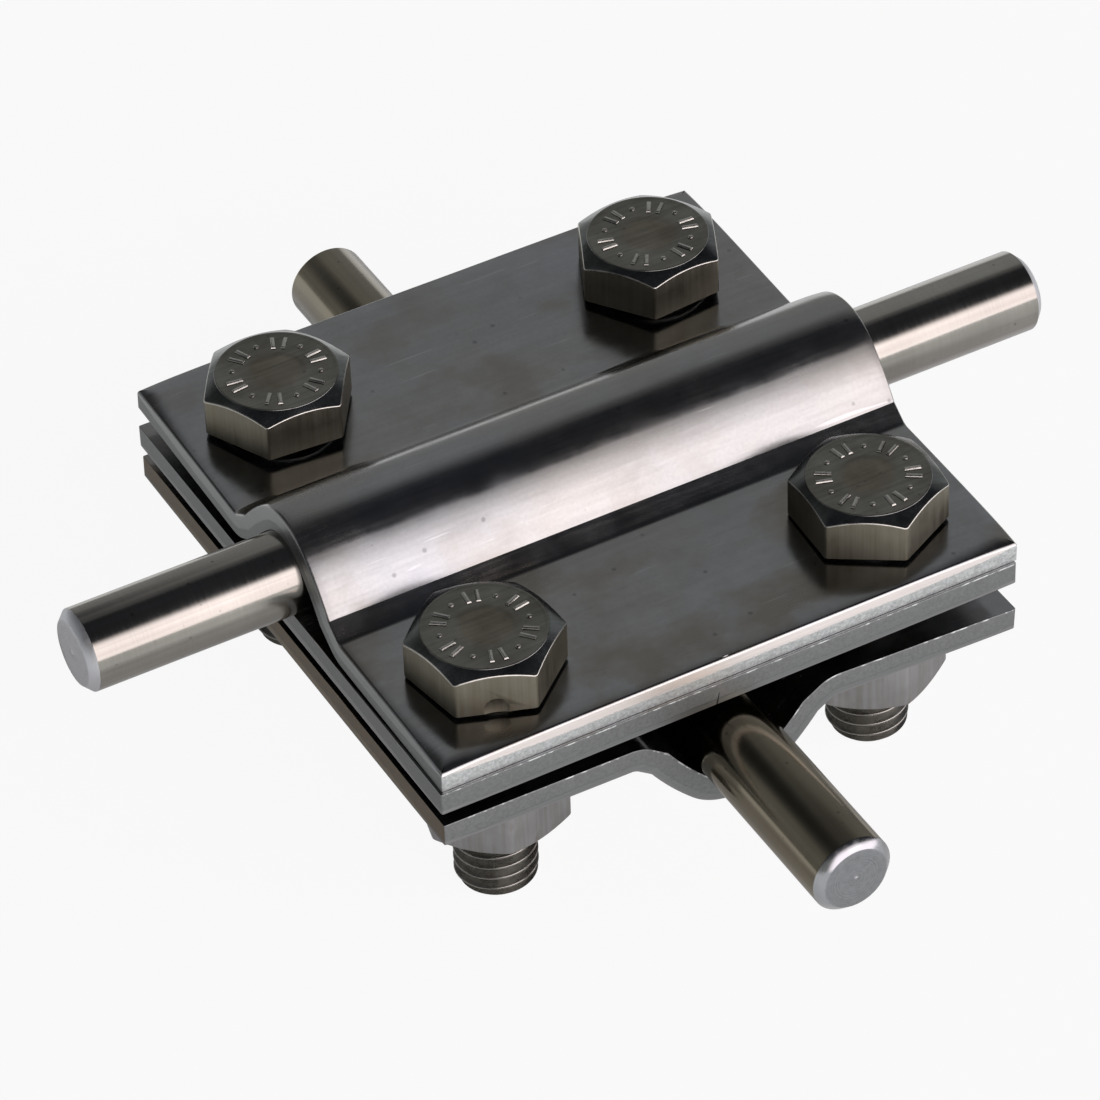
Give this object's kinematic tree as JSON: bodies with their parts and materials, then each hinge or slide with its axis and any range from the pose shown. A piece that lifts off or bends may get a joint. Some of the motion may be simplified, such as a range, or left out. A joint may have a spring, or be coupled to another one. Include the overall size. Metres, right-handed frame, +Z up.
{
  "type": "cross clamp block",
  "caption": "Square steel clamp that joins crossing round conductors, one above and one below a flat middle plate, under channelled plates with hexagon bolts and nuts.",
  "frame": {"origin": "on the level of the four bolt ends that the block stands on, under the crossing point midway along both conductors", "axes": "+X along the upper conductor, +Y along the lower conductor, +Z up, the way the bolt heads face"},
  "size_m": [0.1012, 0.1012, 0.033],
  "materials": {
    "plate": "cold rolled, satin, sheared edges",
    "rod": "drawn, bright",
    "fastener": "cold headed, bright"
  },
  "bodies": {
    "clamp": {"upper_clamp_plate": "plate", "middle_plate": "plate", "lower_clamp_plate": "plate", "upper_rod": "rod", "lower_rod": "rod"},
    "left_bolt": {"left_bolt": "fastener"},
    "left_nut": {"left_nut": "fastener"},
    "front_bolt": {"front_bolt": "fastener"},
    "front_nut": {"front_nut": "fastener"},
    "right_bolt": {"right_bolt": "fastener"},
    "right_nut": {"right_nut": "fastener"},
    "back_bolt": {"back_bolt": "fastener"},
    "back_nut": {"back_nut": "fastener"}
  },
  "joints": [
    {"name": "left_bolt_turn", "type": "hinge", "parent": "clamp", "child": "left_bolt", "pos_m": [-0.01915, 0.0202, 0.012], "axis": [0, 0, 1], "range_deg": [0, 2160]},
    {"name": "left_nut_travel", "type": "slide", "parent": "clamp", "child": "left_nut", "axis": [0, 0, -1], "range_m": [0, 0.0075]},
    {"name": "front_bolt_turn", "type": "hinge", "parent": "clamp", "child": "front_bolt", "pos_m": [-0.01915, -0.0198, 0.012], "axis": [0, 0, 1], "range_deg": [0, 2160]},
    {"name": "front_nut_travel", "type": "slide", "parent": "clamp", "child": "front_nut", "axis": [0, 0, -1], "range_m": [0, 0.0075]},
    {"name": "right_bolt_turn", "type": "hinge", "parent": "clamp", "child": "right_bolt", "pos_m": [0.02085, -0.0198, 0.012], "axis": [0, 0, 1], "range_deg": [0, 1800]},
    {"name": "right_nut_travel", "type": "slide", "parent": "clamp", "child": "right_nut", "axis": [0, 0, -1], "range_m": [0, 0.00625]},
    {"name": "back_bolt_turn", "type": "hinge", "parent": "clamp", "child": "back_bolt", "pos_m": [0.02085, 0.0202, 0.012], "axis": [0, 0, 1], "range_deg": [0, 1800]},
    {"name": "back_nut_travel", "type": "slide", "parent": "clamp", "child": "back_nut", "axis": [0, 0, -1], "range_m": [0, 0.00625]}
  ],
  "couplings": [
    {"joint": "left_nut_travel", "follows": "left_bolt_turn", "m_per_rad": 0.00019894},
    {"joint": "front_nut_travel", "follows": "front_bolt_turn", "m_per_rad": 0.00019894},
    {"joint": "right_nut_travel", "follows": "right_bolt_turn", "m_per_rad": 0.00019894},
    {"joint": "back_nut_travel", "follows": "back_bolt_turn", "m_per_rad": 0.00019894}
  ]
}
